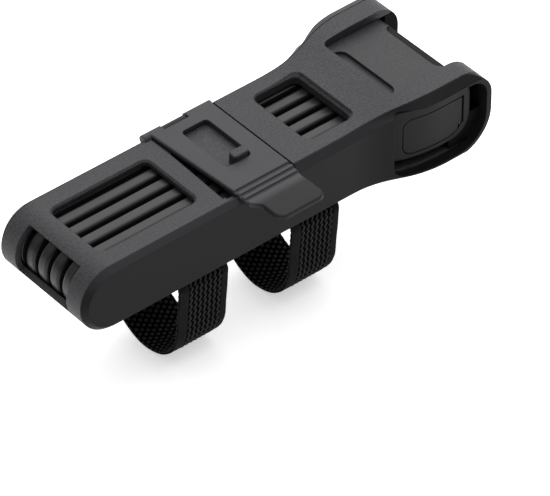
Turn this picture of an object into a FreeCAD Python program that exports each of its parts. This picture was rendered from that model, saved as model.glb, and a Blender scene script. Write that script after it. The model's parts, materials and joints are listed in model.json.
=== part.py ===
import FreeCAD, Part
import math
import os
import re
import Sketcher

from FreeCAD import Placement, Rotation, Vector

# A folding bike lock stowed in its frame holster.
#
# Row frame, millimetres: the origin is on the axis of the bicycle tube that the two
# straps go round, midway between them. +X runs along the tube towards the lock's
# head, +Z points up out of the top of the holster.
#
# Inside the model, places are given in holster coordinates: x from the holster's
# rounded tip, y from its middle plane, z from its underside. tip_x and floor_z carry
# them into the row frame.

SIZES = {
    # where the holster sits in the row frame
    "tip_x": -93.3,
    "floor_z": 27.0,
    # holster case
    "case_height": 31.5,
    "case_half": 28.0,
    "edge_bevel": 2.3,
    "head_foot_ease": 1.5,
    "head_top_step": 1.43,
    "head_top_rise": 5.35,
    "head_flare": 8.5,
    "seam_flare": 6.4,
    "rise_start": 132.0,
    "flare_start": 141.0,
    "flare_end": 184.0,
    "case_front": 207.5,
    "front_top_radius": 12.5,
    "front_foot_radius": 18.0,
    "wall": 2.8,
    "seam_inset": 0.15,
    "seam_gap": 0.2,
    "link_bay_half": 23.4,
    "link_bay_top": 28.7,
    "head_bay_back": 158.5,
    "head_bay_half": 32.7,
    "head_bay_top": 34.3,
    "top_cut_back": 165.4,
    "top_cut_half": 22.4,
    # windows in the case's top
    "tip_window_back": 17.7,
    "tip_window_front": 67.4,
    "tip_window_half": 16.5,
    "mid_window_back": 124.0,
    "mid_window_front": 147.5,
    "mid_window_half": 17.8,
    "window_corner": 3.2,
    "rim_bevel": 0.9,
    "tip_slot_high_angle": 60.0,
    "tip_slot_low_angle": 30.0,
    # channel across the top that the latch flap lies in
    "channel_back": 76.5,
    "channel_front": 110.0,
    "channel_floor": 30.3,
    # latch flap
    "flap_top": 32.93,
    "flap_thick": 2.0,
    "flap_front": 109.7,
    "hinge_y": 27.0,
    "hinge_z": 30.55,
    "knuckle_radius": 2.35,
    "case_knuckle_radius": 1.8,
    "knuckle_gap": 0.35,
    "knuckle_wall": 1.6,
    "flap_edge_radius": 0.8,
    "rib_pitch": 3.3,
    "rib_valley_radius": 0.95,
    "hinge_pin_radius": 1.0,
    "running_gap": 0.06,
    "peg_top": 35.3,
    # folded links
    "link_pitch": 7.8,
    "bar_thick": 4.0,
    "bar_height": 20.0,
    "sleeve_thick": 5.8,
    "sleeve_height": 24.8,
    "tip_pivot_x": 15.8,
    "fold_length": 132.0,
    "pivot_z": 15.75,
    "rivet_radius": 4.0,
    "rivet_head_radius": 6.4,
    "sleeve_eye_radius": 7.2,
    "washer_thick": 3.6,
    # lock head
    "body_back": 160.6,
    "body_front": 200.0,
    "body_low": 3.3,
    "body_top": 33.9,
    "body_half": 24.0,
    "cap_half": 32.3,
    "cap_low": 6.4,
    "cap_top": 33.3,
    "cap_inset": 4.2,
    "slot_half": 3.4,
    "slot_front": 182.0,
    "pivot_x": 173.0,
    "pivot_pin_radius": 3.5,
    "cylinder_x": 191.0,
    "cylinder_z": 18.0,
    "cylinder_radius": 7.0,
    "plug_radius": 5.0,
    "bolt_radius": 3.0,
    "bolt_tip": -22.6,
    "bolt_length": 16.0,
    "bolt_travel": 5.4,
    "bumper_thick": 2.8,
    "bumper_gap": 0.35,
    "bumper_wedge_back": 188.0,
    # keyway cover, let into the near end cap
    "panel_back": 165.6,
    "panel_front": 195.55,
    "panel_low": 9.7,
    "panel_high": 27.4,
    "panel_thick": 1.5,
    "panel_gap": 0.4,
    "panel_recess": 2.0,
    "panel_hinge_x": 194.5,
    "panel_hinge_y": -31.25,
    "panel_barrel_radius": 1.05,
    "panel_pin_radius": 0.6,
    "panel_foot_relief": 1.6,
    # straps round the frame tube
    "tube_radius": 21.0,
    "strap_thick": 2.0,
    "strap_width": 25.6,
    "strap_rear_x": 51.0,
    "strap_front_x": 110.0,
    "strap_leg_half": 25.0,
    "strap_slot_top": -0.8,
    "bridge_half": 20.0,
    "bridge_depth": 6.0,
    "flange_reach": 8.0,
    "flange_half": 17.0,
    "flange_thick": 2.2,
    "screw_radius": 1.25,
    "screw_head_radius": 2.6,
    "pad_thick": 2.0,
}

doc = FreeCAD.newDocument("folding_lock")
sheet = doc.addObject("Spreadsheet::Sheet", "Sizes")
for row, (alias, number) in enumerate(SIZES.items(), start=1):
    sheet.set(f"A{row}", alias)
    sheet.set(f"B{row}", str(number))
    sheet.setAlias(f"B{row}", alias)
doc.recompute()

ROW_SHIFT = Vector(sheet.tip_x, 0, sheet.floor_z)
NAMES = re.compile(r"\b(" + "|".join(SIZES) + r")\b")
subparts = []


def size(alias):
    return getattr(sheet, alias)


def formula(text, origin=None):
    """An expression over the sheet; origin is the alias that is added to a place."""
    words = NAMES.sub(r"Sizes.\1", str(text))
    return f"Sizes.{origin} + ({words})" if origin else words


def publish(thing, label):
    thing.Label = label
    subparts.append(thing)
    return thing


# ---------------------------------------------------------------- primitives


def box(name, x, y, z):
    """A block between two planes along each axis, each plane a sheet expression."""
    block = doc.addObject("Part::Box", name)
    for prop, axis, span, origin in (
        ("Length", "x", x, "tip_x"), ("Width", "y", y, None), ("Height", "z", z, "floor_z"),
    ):
        low, high = span
        block.setExpression(prop, formula(f"({high}) - ({low})"))
        block.setExpression(f"Placement.Base.{axis}", formula(low, origin))
    return block


AXIS_TURN = {
    "x": Rotation(Vector(0, 1, 0), 90),
    "y": Rotation(Vector(1, 0, 0), -90),
    "z": Rotation(),
}


def rod(name, axis, radius, start, length, centre):
    """A cylinder along a row axis; centre gives its two other holster coordinates."""
    bar = doc.addObject("Part::Cylinder", name)
    bar.Placement = Placement(Vector(), AXIS_TURN[axis])
    bar.setExpression("Radius", formula(radius))
    bar.setExpression("Height", formula(length))
    places = dict(zip([a for a in "xyz" if a != axis], centre))
    places[axis] = start
    origins = {"x": "tip_x", "y": None, "z": "floor_z"}
    for letter, place in places.items():
        bar.setExpression(f"Placement.Base.{letter}", formula(place, origins[letter]))
    return bar


def fuse(name, *pieces):
    union = doc.addObject("Part::MultiFuse", name)
    union.Shapes = list(pieces)
    return union


def cut(name, base, *tools):
    result = doc.addObject("Part::Cut", name)
    result.Base = base
    result.Tool = tools[0] if len(tools) == 1 else fuse(name + "_tools", *tools)
    return result


def common(name, *pieces):
    result = doc.addObject("Part::MultiCommon", name)
    result.Shapes = list(pieces)
    return result


def compound(name, pieces, label):
    group = doc.addObject("Part::Compound", name)
    group.Links = pieces
    return publish(group, label)


def straight_edges(shape, direction, test=None):
    """1-based numbers of the straight edges along a direction, for a fillet."""
    found = []
    for number, edge in enumerate(shape.Edges, start=1):
        if edge.Curve.TypeId != "Part::GeomLine":
            continue
        if abs(edge.tangentAt(edge.FirstParameter).dot(direction)) < 0.999:
            continue
        if test is None or test(edge.CenterOfMass - ROW_SHIFT):
            found.append(number)
    return found


def rounded(name, base, radius, direction, test=None):
    doc.recompute()
    fillet = doc.addObject("Part::Fillet", name)
    fillet.Base = base
    edges = straight_edges(base.Shape, direction, test)
    fillet.Edges = [(number, radius, radius) for number in edges]
    doc.recompute()
    return fillet


def bevelled(name, base, width, test):
    """Chamfers every edge that the test, in holster coordinates, accepts."""
    doc.recompute()
    chamfer = doc.addObject("Part::Chamfer", name)
    chamfer.Base = base
    chosen = []
    for number, edge in enumerate(base.Shape.Edges, start=1):
        if test(edge.BoundBox, edge.CenterOfMass - ROW_SHIFT):
            chosen.append((number, width, width))
    chamfer.Edges = chosen
    doc.recompute()
    return chamfer


def shaped(name, shape):
    """A shape from Part's own functions, made in holster coordinates."""
    feature = doc.addObject("Part::Feature", name)
    feature.Shape = shape
    feature.Placement = Placement(ROW_SHIFT, Rotation()) * shape.Placement
    return feature


ALONG_Y = Vector(0, 1, 0)
ALONG_Z = Vector(0, 0, 1)

# ---------------------------------------------------------------- sketched bodies


def new_body(label):
    body = doc.addObject("PartDesign::Body", label)
    return body


def sketch_on(body, role, name, offset=0.0):
    sketch = body.newObject("Sketcher::SketchObject", name)
    plane = next(p for p in body.Origin.OriginFeatures if p.Role == role)
    sketch.AttachmentSupport = (plane, [""])
    sketch.MapMode = "FlatFace"
    sketch.AttachmentOffset = Placement(Vector(0, 0, offset), Rotation())
    return sketch


def draw_stadium(sketch, length, height, names):
    """A long hole's outline from the first pivot at the sketch's origin along +X."""
    radius = height / 2
    up, right, low, left = (
        Part.LineSegment(Vector(0, radius, 0), Vector(length, radius, 0)),
        Part.ArcOfCircle(Part.Circle(Vector(length, 0, 0), Vector(0, 0, 1), radius),
                         -math.pi / 2, math.pi / 2),
        Part.LineSegment(Vector(length, -radius, 0), Vector(0, -radius, 0)),
        Part.ArcOfCircle(Part.Circle(Vector(), Vector(0, 0, 1), radius),
                         math.pi / 2, 3 * math.pi / 2),
    )
    first = sketch.addGeometry([up, right, low, left], False)[0]
    join = Sketcher.Constraint
    sketch.addConstraint([
        join("Tangent", first, 2, first + 1, 2),
        join("Tangent", first + 1, 1, first + 2, 1),
        join("Tangent", first + 2, 2, first + 3, 2),
        join("Tangent", first + 3, 1, first, 1),
        join("Coincident", first + 3, 3, -1, 1),
        join("PointOnObject", first + 1, 3, -1),
    ])
    span = sketch.addConstraint(join("DistanceX", first + 3, 3, first + 1, 3, length))
    round_end = sketch.addConstraint(join("Radius", first + 3, radius))
    sketch.setExpression(f"Constraints[{span}]", formula(names[0]))
    sketch.setExpression(f"Constraints[{round_end}]", formula(f"({names[1]}) / 2"))


def draw_circle(sketch, x, y, radius_text):
    radius = sheet_value(radius_text)
    number = sketch.addGeometry(Part.Circle(Vector(x, y, 0), Vector(0, 0, 1), radius), False)
    sketch.addConstraint([
        Sketcher.Constraint("DistanceX", -1, 1, number, 3, x),
        Sketcher.Constraint("DistanceY", -1, 1, number, 3, y),
    ])
    ring = sketch.addConstraint(Sketcher.Constraint("Radius", number, radius))
    sketch.setExpression(f"Constraints[{ring}]", formula(radius_text))


def sheet_value(text):
    """The number that a short sum of aliases comes to, for a sketch's first drawing."""
    total = 0.0
    for term in str(text).replace("-", "+-").split("+"):
        term = term.strip()
        sign = -1 if term.startswith("-") else 1
        word = term.lstrip("- ")
        if word:
            total += sign * (size(word) if word in SIZES else float(word))
    return total


def pad(body, sketch, length_text, name, symmetric=True):
    feature = body.newObject("PartDesign::Pad", name)
    feature.Profile = sketch
    feature.SideType = "Symmetric" if symmetric else "One side"
    feature.setExpression("Length", formula(length_text))
    doc.recompute()
    return feature


def pocket(body, sketch, length_text, name):
    """A cut both ways from the sketch's plane, length_text in all."""
    feature = body.newObject("PartDesign::Pocket", name)
    feature.Profile = sketch
    before = body.Shape.Volume
    feature.SideType = "Symmetric"
    feature.setExpression("Length", formula(length_text))
    doc.recompute()
    if not body.Shape.Volume < before:
        raise RuntimeError(f"{name} cuts nothing")
    return feature


def stand_body(body, x, y, z):
    """Turns a body drawn on its XY plane to stand in XZ, its sketch origin at x, y, z."""
    turn = Rotation(Vector(1, 0, 0), 90)
    body.Placement = Placement(ROW_SHIFT + Vector(x, y, z), turn)


# ---------------------------------------------------------------- case envelope


def s_curve(x, start, end, rise):
    """Height of two equal tangent arcs that climb from 0 at start to rise at end."""
    if x <= start:
        return 0.0
    if x >= end:
        return rise
    run = end - start
    radius = (run * run + rise * rise) / (4 * rise)
    if x <= start + run / 2:
        return radius - math.sqrt(radius ** 2 - (x - start) ** 2)
    return rise - radius + math.sqrt(radius ** 2 - (end - x) ** 2)


def half_width(x):
    return size("case_half") + s_curve(x, size("flare_start"), size("flare_end"), size("head_flare"))


def seam_half(x):
    left = size("case_half") - size("edge_bevel")
    return left + s_curve(x, size("flare_start"), size("flare_end"), size("seam_flare"))


def top_height(x):
    flat = size("case_height") + size("head_top_step")
    return flat + s_curve(x, size("rise_start"), size("flare_end"), size("head_top_rise"))


def side_top(x):
    """Where the bevel along the top meets the side face."""
    climb = s_curve(x, size("rise_start"), size("flare_end"), size("head_top_rise") + 1.3)
    return size("case_height") - size("edge_bevel") + climb


def ring_section(x, top):
    """The eight-cornered cross-section of the case at x."""
    half, seam, shoulder = half_width(x), seam_half(x), side_top(x)
    ease = s_curve(x, size("rise_start"), size("flare_end"), size("head_foot_ease"))
    foot = size("edge_bevel") - ease
    side = [(seam, top), (half, shoulder), (half, foot), (half - foot, 0)]
    corners = side + [(-y, z) for y, z in reversed(side)]
    points = [Vector(x, y, z) for y, z in corners]
    return Part.makePolygon(points + points[:1])


def prism_between(x_from, x_to, top):
    face = Part.Face(ring_section(x_from, top))
    return face.extrude(Vector(x_to - x_from, 0, 0))


def front_profile():
    """Side view of the case: a block whose front foot and front brow are round."""
    front, top = size("case_front"), top_height(size("case_front"))
    foot, brow = size("front_foot_radius"), size("front_top_radius")
    high = Vector(front - brow, 0, top)
    turn = math.sqrt(0.5)
    path = [
        Part.LineSegment(Vector(-10, 0, top), high),
        Part.Arc(high, Vector(front - brow * (1 - turn), 0, top - brow * (1 - turn)),
                 Vector(front, 0, top - brow)),
        Part.LineSegment(Vector(front, 0, top - brow), Vector(front, 0, foot)),
        Part.Arc(Vector(front, 0, foot), Vector(front - foot * (1 - turn), 0, foot * (1 - turn)),
                 Vector(front - foot, 0, 0)),
        Part.LineSegment(Vector(front - foot, 0, 0), Vector(-10, 0, 0)),
        Part.LineSegment(Vector(-10, 0, 0), Vector(-10, 0, top)),
    ]
    return Part.Wire([curve.toShape() for curve in path])


def front_block(half, inset=0.0):
    wire = front_profile()
    if inset:
        wire = wire.makeOffset2D(-inset)
    face = Part.Face(wire)
    block = face.extrude(Vector(0, 2 * half, 0))
    block.translate(Vector(0, -half, 0))
    return block


def envelope_shape():
    """The whole outside of the case, before anything is hollowed."""
    radius = size("case_height") / 2
    base_x, middle, far_x = radius, 93.0, size("case_front") + 3
    start = size("rise_start")
    half_disc = ring_section(base_x, size("case_height")).Vertexes
    upper = [Vector(base_x, v.Y, v.Z) for v in half_disc if v.Z > radius]
    upper.sort(key=lambda p: p.y)
    loop = [Vector(base_x, upper[0].y, radius)] + upper + [Vector(base_x, upper[-1].y, radius)]
    half_face = Part.Face(Part.makePolygon(loop + loop[:1]))
    tip = half_face.revolve(Vector(base_x, 0, radius), Vector(0, 1, 0), -180)
    rear = prism_between(base_x, middle, size("case_height"))
    front = prism_between(middle, start, size("case_height") + size("head_top_step"))
    stations = [start + 5 * step for step in range(int((far_x - start) / 5) + 2)]
    head = Part.makeLoft([ring_section(x, top_height(x)) for x in stations], True, False)
    whole = tip.fuse([rear, front, head]).removeSplitter()
    return whole.common(front_block(60))


def waist_block(side, rise):
    """A tall block, side wide to each side of the middle, that flares as the case does."""
    start, end = size("flare_start"), size("flare_end")
    run = end - start
    middle = Vector(start + run / 2, 0, 0)

    def edge(sign):
        points = [Vector(-10, sign * side, -10), Vector(start, sign * side, -10)]
        quarter = start + run / 4
        three_quarter = start + 3 * run / 4
        low = Vector(quarter, sign * (side + s_curve(quarter, start, end, rise)), -10)
        mid = Vector(middle.x, sign * (side + rise / 2), -10)
        high = Vector(three_quarter, sign * (side + s_curve(three_quarter, start, end, rise)), -10)
        last = Vector(end, sign * (side + rise), -10)
        return [
            Part.LineSegment(points[0], points[1]), Part.Arc(points[1], low, mid),
            Part.Arc(mid, high, last),
            Part.LineSegment(last, Vector(230, sign * (side + rise), -10)),
        ]

    far, near = edge(1), edge(-1)
    ends = [
        Part.LineSegment(Vector(-10, side, -10), Vector(-10, -side, -10)),
        Part.LineSegment(Vector(230, side + rise, -10), Vector(230, -side - rise, -10)),
    ]
    wire = Part.Wire(Part.sortEdges([curve.toShape() for curve in far + near + ends])[0])
    return Part.Face(wire).extrude(Vector(0, 0, 70))


def round_window(name, x, half, z, corner):
    """A window through the top, with round corners."""
    block = box(name + "_block", x, (f"-({half})", half), z)
    return rounded(name, block, corner, ALONG_Z)


def rim(name, x, half, top, corner):
    """The bevel round a window: a funnel that widens upwards."""
    low, high = x
    bevel = size("rim_bevel")
    lower = rectangle(low, high, half, top - bevel, corner)
    upper = rectangle(low - bevel, high + bevel, half + bevel, top, corner + bevel)
    top_more = rectangle(low - 2 * bevel, high + 2 * bevel, half + 2 * bevel, top + bevel,
                         corner + 2 * bevel)
    return shaped(name, Part.makeLoft([lower, upper, top_more], True, True))


def rectangle(low, high, half, z, corner):
    """A rounded rectangle lying at height z."""
    turn = corner * (1 - math.sqrt(0.5))
    parts = []
    corners = [(high, half, -1, -1), (low, half, 1, -1), (low, -half, 1, 1), (high, -half, -1, 1)]
    starts, ends = [], []
    for x, y, inward_x, inward_y in corners:
        along_x = Vector(x + inward_x * corner, y, z)
        along_y = Vector(x, y + inward_y * corner, z)
        middle = Vector(x + inward_x * turn, y + inward_y * turn, z)
        first, last = (along_y, along_x) if inward_x * inward_y > 0 else (along_x, along_y)
        starts.append(first)
        ends.append(last)
        parts.append(Part.Arc(first, middle, last).toShape())
    for number in range(4):
        parts.append(Part.LineSegment(ends[number], starts[(number + 1) % 4]).toShape())
    return Part.Wire(Part.sortEdges(parts)[0])


envelope = shaped("envelope", envelope_shape())
seam_side = seam_half(0) - size("seam_inset")
seams_cover = shaped("seams_cover", waist_block(seam_side, size("seam_flare")))
seams_shell = shaped("seams_shell", waist_block(seam_side - size("seam_gap"), size("seam_flare")))

# the folded links' bay, round at the tip, and the wider bay for the lock's head
bay_round = rod("bay_round", "y", "case_height / 2 - wall", "-link_bay_half",
                "2 * link_bay_half", ("case_height / 2", "case_height / 2"))
bay_straight = box("bay_straight", ("case_height / 2", "head_bay_back + 5"),
                   ("-link_bay_half", "link_bay_half"), ("wall", "link_bay_top"))
link_bay = fuse("link_bay", bay_round, bay_straight)
head_bay = box("head_bay", ("head_bay_back", 230), ("-head_bay_half", "head_bay_half"),
               ("wall", "head_bay_top"))
channel = box("channel", ("channel_back", "channel_front"), (-40, 40), ("channel_floor", 50))

top_cut = rounded("top_cut", box("top_cut_block", ("top_cut_back", 230),
                                 ("-top_cut_half", "top_cut_half"), (29, 60)), 3.0, ALONG_Z)
tip_window = round_window("tip_window", ("tip_window_back", "tip_window_front"),
                          "tip_window_half", (20, 50), size("window_corner"))
tip_rim = rim("tip_rim", (size("tip_window_back"), size("tip_window_front")),
              size("tip_window_half"), size("case_height"), size("window_corner"))
mid_window = round_window("mid_window", ("mid_window_back", "mid_window_front"),
                          "mid_window_half", (20, 50), size("window_corner"))
mid_rim = rim("mid_rim", (size("mid_window_back"), size("mid_window_front")),
              size("mid_window_half"), size("case_height") + size("head_top_step") + 0.15,
              size("window_corner"))
pad_slot = box("pad_slot", (83.4, 104.6), (-21.6, -12.4), (20, 50))


def flank_shape():
    """The slot along the flap's rear edge: its outer side a ramp, widening to the near side."""
    stations = []
    for y, back in ((-22.8, 74.9), (14.0, 76.4)):
        points = [Vector(back, y, 31.8), Vector(back + 3.0, y, 28.0), Vector(back + 3.0, y, 20.0),
                  Vector(back + 6.2, y, 20.0), Vector(back + 6.2, y, 31.8)]
        stations.append(Part.makePolygon(points + points[:1]))
    return Part.makeLoft(stations, True, True)


flank_slot = shaped("flank_slot", flank_shape())


def tip_slot_shape():
    """The slot in the round tip, cut between two radial planes."""
    middle = size("case_height") / 2
    high = math.radians(size("tip_slot_high_angle"))
    low = math.radians(size("tip_slot_low_angle"))
    reach = 40.0
    corners = [
        Vector(middle, 0, middle),
        Vector(middle - reach * math.cos(high), 0, middle + reach * math.sin(high)),
        Vector(middle - reach, 0, middle),
        Vector(middle - reach * math.cos(low), 0, middle - reach * math.sin(low)),
    ]
    half = size("tip_window_half")
    wedge = Part.Face(Part.makePolygon(corners + corners[:1])).extrude(Vector(0, 2 * half, 0))
    wedge.translate(Vector(0, -half, 0))
    return wedge


tip_slot = shaped("tip_slot", tip_slot_shape())

# notches that the flap's two hinge knuckles turn in, and the case's own knuckle between them
knuckle_spans = ((73.8, 84.2), (96.2, 110.2))
hinge_back, hinge_front = knuckle_spans[0][0], knuckle_spans[1][1]
middle_back, middle_front = knuckle_spans[0][1], knuckle_spans[1][0]
knuckle_notches = [
    rod(f"knuckle_notch_{number}", "x", "knuckle_radius + knuckle_gap", start, end - start,
        ("hinge_y", "hinge_z"))
    for number, (start, end) in enumerate(knuckle_spans)
]
pin_hole = rod("pin_hole", "x", "hinge_pin_radius + 0.02", hinge_back, hinge_front - hinge_back,
               ("hinge_y", "hinge_z"))
case_knuckle = rod("case_knuckle", "x", "case_knuckle_radius", middle_back,
                   middle_front - middle_back, ("hinge_y", "hinge_z"))
case_knuckle_seat = rod("case_knuckle_seat", "x", "case_knuckle_radius + 0.1", middle_back,
                        middle_front - middle_back, ("hinge_y", "hinge_z"))

# side eyes: windows through the flared ends of the side covers
eye_spans = (159.3, 204.9, 1.8, 35.2)


def eye_shape():
    """A tall rounded window along Y, its front foot the roundest corner."""
    back, front, low, high = eye_spans
    radii = ((front, high, 8.5), (back, high, 3.0), (back, low, 5.0), (front, low, 15.0))
    points = [Vector(x, -60, z) for x, z, _ in radii]
    wire = Part.makePolygon(points + points[:1])
    block = Part.Face(wire).extrude(Vector(0, 120, 0))
    for x, z, radius in radii:
        edge = next(e for e in block.Edges
                    if abs(e.CenterOfMass.x - x) < 0.01 and abs(e.CenterOfMass.z - z) < 0.01)
        block = block.makeFillet(radius, [edge])
    middle = Part.makeBox(300, 40, 100, Vector(-10, -20, -10))
    return block.cut(middle)


eyes = shaped("eyes", eye_shape())

# ---------------------------------------------------------------- bridge screws


def driving_screw(name, x, y):
    """A pan-head screw up through a bridge's flange into the case's floor."""
    shank = rod(name + "_shank", "z", "screw_radius", "-flange_thick", "flange_thick + 2.4", (x, y))
    head = rod(name + "_head", "z", "screw_head_radius", "-flange_thick - 1.5", 1.5, (x, y))
    recess = [
        box(f"{name}_recess_{turn}", (f"{x} - {wide}", f"{x} + {wide}"),
            (f"{y} - {2 - wide}", f"{y} + {2 - wide}"),
            ("-flange_thick - 2", "-flange_thick - 0.7"))
        for turn, wide in enumerate((1.6, 0.4))
    ]
    return cut(name, fuse(name + "_blank", shank, head), *recess)


screws = []
screw_holes = {}
strap_places = (("rear", "strap_rear_x"), ("front", "strap_front_x"))
for label, x_alias in strap_places:
    places = [
        (f"{x_alias} + strap_width / 2 + {side} * (strap_width / 2 + 5)", y)
        for side in (-1, 1) for y in (-11.5, 11.5)
    ]
    screws += [driving_screw(f"screw_{label}_{number}", f"({x})", y)
               for number, (x, y) in enumerate(places)]
    screw_holes[label] = [
        rod(f"screw_hole_{label}_{number}", "z", "screw_radius", "-bridge_depth",
            "bridge_depth + 2.4", (x, y))
        for number, (x, y) in enumerate(places)
    ]
compound("bridge_screw_set", screws, "bridge_screws")

# ---------------------------------------------------------------- case nodes

shell_outer = common("shell_outer", envelope, seams_shell)
shell = cut("shell", shell_outer, link_bay, head_bay, channel, top_cut, tip_window, tip_rim,
            mid_window, mid_rim, pad_slot, flank_slot, tip_slot, case_knuckle_seat, *knuckle_notches,
            *screw_holes["rear"], *screw_holes["front"])
publish(shell, "case_shell")

cover_cavity = box("cover_cavity", (166.5, 230), ("-head_bay_half", "head_bay_half"),
                   ("wall", "head_bay_top"))
channel_near = box("channel_near", (80.2, "channel_front"), (-40, 0), ("channel_floor", 50))
channel_far = box("channel_far", ("channel_back", "channel_front"), (0, 25.8),
                  ("channel_floor", 50))
channel_middle = box("channel_middle", (middle_back, middle_front), (0, 40), ("channel_floor", 50))
cover_body = cut("cover_body", envelope, seams_cover, channel_near, channel_far, channel_middle)
cover_knuckled = fuse("cover_knuckled", cover_body, case_knuckle)
covers = cut("covers", cover_knuckled, eyes, cover_cavity, *knuckle_notches, pin_hole)
half_spaces = {
    "near": box("near_half", (-20, 240), (-80, 0), (-20, 90)),
    "far": box("far_half", (-20, 240), (0, 80), (-20, 90)),
}
for side, block in half_spaces.items():
    publish(common(f"cover_{side}", covers, block), f"side_cover_{side}")

# the flap's window buttons over this peg, which stands on the channel's floor
peg_block = box("peg_block", (92.5, 100.2), (-9.6, -4.9), ("channel_floor", "peg_top"))
latch_peg = bevelled("latch_peg_body", rounded("peg_round", peg_block, 1.3, ALONG_Z), 0.45,
                     lambda bounds, place: place.z > size("peg_top") - 0.01)
publish(latch_peg, "latch_peg")
publish(rod("hinge_pin_rod", "x", "hinge_pin_radius", f"{hinge_back} + knuckle_wall + 0.5",
            f"{hinge_front - hinge_back} - 2 * knuckle_wall - 1", ("hinge_y", "hinge_z")),
        "flap_hinge_pin")

# ---------------------------------------------------------------- latch flap


def flap_plate_shape():
    """The flap's plate: a panel from the hinge, narrowing to a pull tab past the side."""
    top, thick = size("flap_top"), size("flap_thick")
    outline = [
        Vector(77.2, 27.0, 0), Vector(80.6, -24.9, 0), Vector(80.6, -33.0, 0), Vector(84.2, -37.4, 0),
        Vector(84.2, -48.3, 0), Vector(108.4, -48.3, 0), Vector(108.4, -37.4, 0),
        Vector(108.0, -33.0, 0), Vector(109.7, -24.9, 0), Vector(109.7, 27.0, 0),
    ]
    plate = Part.Face(Part.makePolygon(outline + outline[:1])).extrude(Vector(0, 0, thick))
    plate.translate(Vector(0, 0, top - thick))
    corner_edges = [e for e in plate.Edges
                    if abs(e.tangentAt(0).z) > 0.99 and e.CenterOfMass.y < -48]
    plate = plate.makeFillet(4.0, corner_edges)
    rim_edges = [e for e in plate.Edges
                 if e.BoundBox.ZMin > top - 0.01 and e.CenterOfMass.y < 26.9]
    return plate.makeFillet(size("flap_edge_radius"), rim_edges)


flap_plate = shaped("flap_plate", flap_plate_shape())
knuckles = [
    rod(f"knuckle_{number}", "x", "knuckle_radius", f"{start} + knuckle_gap",
        f"{end - start} - 2 * knuckle_gap", ("hinge_y", "hinge_z"))
    for number, (start, end) in enumerate(knuckle_spans)
]
flap_blank = fuse("flap_blank", flap_plate, *knuckles)
flap_window = rounded("flap_window", box("flap_window_block", (87.6, 101.2), (-10.0, 19.2),
                                         (20, 50)), 2.0, ALONG_Z)
flap_grooves = [
    rod(f"flap_groove_{number}", "x", "rib_valley_radius", 70, 50,
        (f"-24.0 - {number} * rib_pitch", "flap_top + 0.05"))
    for number in range(3)
]
knuckle_relief = box("knuckle_relief",
                     (f"{middle_back} - knuckle_gap", f"{middle_front} + knuckle_gap"),
                     ("hinge_y - case_knuckle_radius - knuckle_gap", 40), (20, 50))
hinge_bore = rod("hinge_bore", "x", "hinge_pin_radius + running_gap",
                 f"{hinge_back} + knuckle_wall", f"{hinge_front - hinge_back} - 2 * knuckle_wall",
                 ("hinge_y", "hinge_z"))
flap = cut("flap", flap_blank, flap_window, knuckle_relief, hinge_bore, *flap_grooves)
publish(flap, "latch_flap")
flap_pad = rounded("flap_pad", box("flap_pad_block", (84.2, 103.8), (-20.8, -13.2),
                                   (28.5, "flap_top - flap_thick")), 1.5, ALONG_Z)
publish(flap_pad, "flap_pressure_pad")

# ---------------------------------------------------------------- folded links


def link_y(number):
    """Middle plane of link 1 (far side) to 6 (near side)."""
    return (3.5 - number) * size("link_pitch")


def bar_length(number):
    """Pivot to pivot; the outer two links reach into the lock's head."""
    if number in (1, 6):
        return size("pivot_x") - size("tip_pivot_x"), "pivot_x - tip_pivot_x"
    return size("fold_length"), "fold_length"


def make_bar(number):
    length, text = bar_length(number)
    body = new_body(f"bar_body_{number}")
    outline = sketch_on(body, "XY_Plane", f"bar_outline_{number}")
    draw_stadium(outline, length, size("bar_height"), (text, "bar_height"))
    hole_radius = "pivot_pin_radius + running_gap" if number == 1 else "rivet_radius"
    if number == 6:
        hole_radius = "bolt_radius + 0.3"
    draw_circle(outline, 0, 0, "rivet_radius")
    draw_circle(outline, length, 0, hole_radius)
    pad(body, outline, "bar_thick", f"bar_pad_{number}")
    stand_body(body, size("tip_pivot_x"), link_y(number), size("pivot_z"))
    return publish(body, f"link_{number}")


def sleeve_length(number):
    """The plastic sleeve stops short of the head on the outer two links."""
    if number in (1, 6):
        return size("body_back") - size("sleeve_height") / 2 - 0.6 - size("tip_pivot_x")
    return size("fold_length")


def make_sleeve(number):
    length = sleeve_length(number)
    body = new_body(f"sleeve_body_{number}")
    outline = sketch_on(body, "XY_Plane", f"sleeve_outline_{number}")
    sleeve_text = "fold_length"
    if number in (1, 6):
        sleeve_text = "body_back - sleeve_height / 2 - 0.6 - tip_pivot_x"
    draw_stadium(outline, length, size("sleeve_height"), (sleeve_text, "sleeve_height"))
    draw_circle(outline, 0, 0, "sleeve_eye_radius")
    if number not in (1, 6):
        draw_circle(outline, length, 0, "sleeve_eye_radius")
    pad(body, outline, "sleeve_thick", f"sleeve_pad_{number}")
    core = sketch_on(body, "XY_Plane", f"sleeve_core_{number}")
    bar, bar_text = bar_length(number)
    draw_stadium(core, bar, size("bar_height") + 0.1, (bar_text, "bar_height + 0.1"))
    pocket(body, core, "bar_thick + 0.1", f"sleeve_pocket_{number}")
    stand_body(body, size("tip_pivot_x"), link_y(number), size("pivot_z"))
    return body


def soften(body, radius, label):
    """Rounds the sleeve's long top and bottom edges and its round ends."""
    feature = doc.addObject("Part::Fillet", label + "_soft")
    feature.Base = body
    chosen = []
    for number, edge in enumerate(body.Shape.Edges, start=1):
        bounds, place = edge.BoundBox, edge.CenterOfMass - ROW_SHIFT
        off_middle = abs(place.y - body.Placement.Base.y)
        off_pivot = abs(place.z - size("pivot_z"))
        on_face = bounds.YLength < 0.01 and abs(off_middle - size("sleeve_thick") / 2) < 0.01
        long_edge = bounds.ZLength < 0.01 and abs(off_pivot - size("sleeve_height") / 2) < 0.01
        round_end = bounds.ZLength > size("sleeve_height") - 0.5
        if on_face and (long_edge or round_end):
            chosen.append((number, radius, radius))
    feature.Edges = chosen
    doc.recompute()
    return publish(feature, label)


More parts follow.
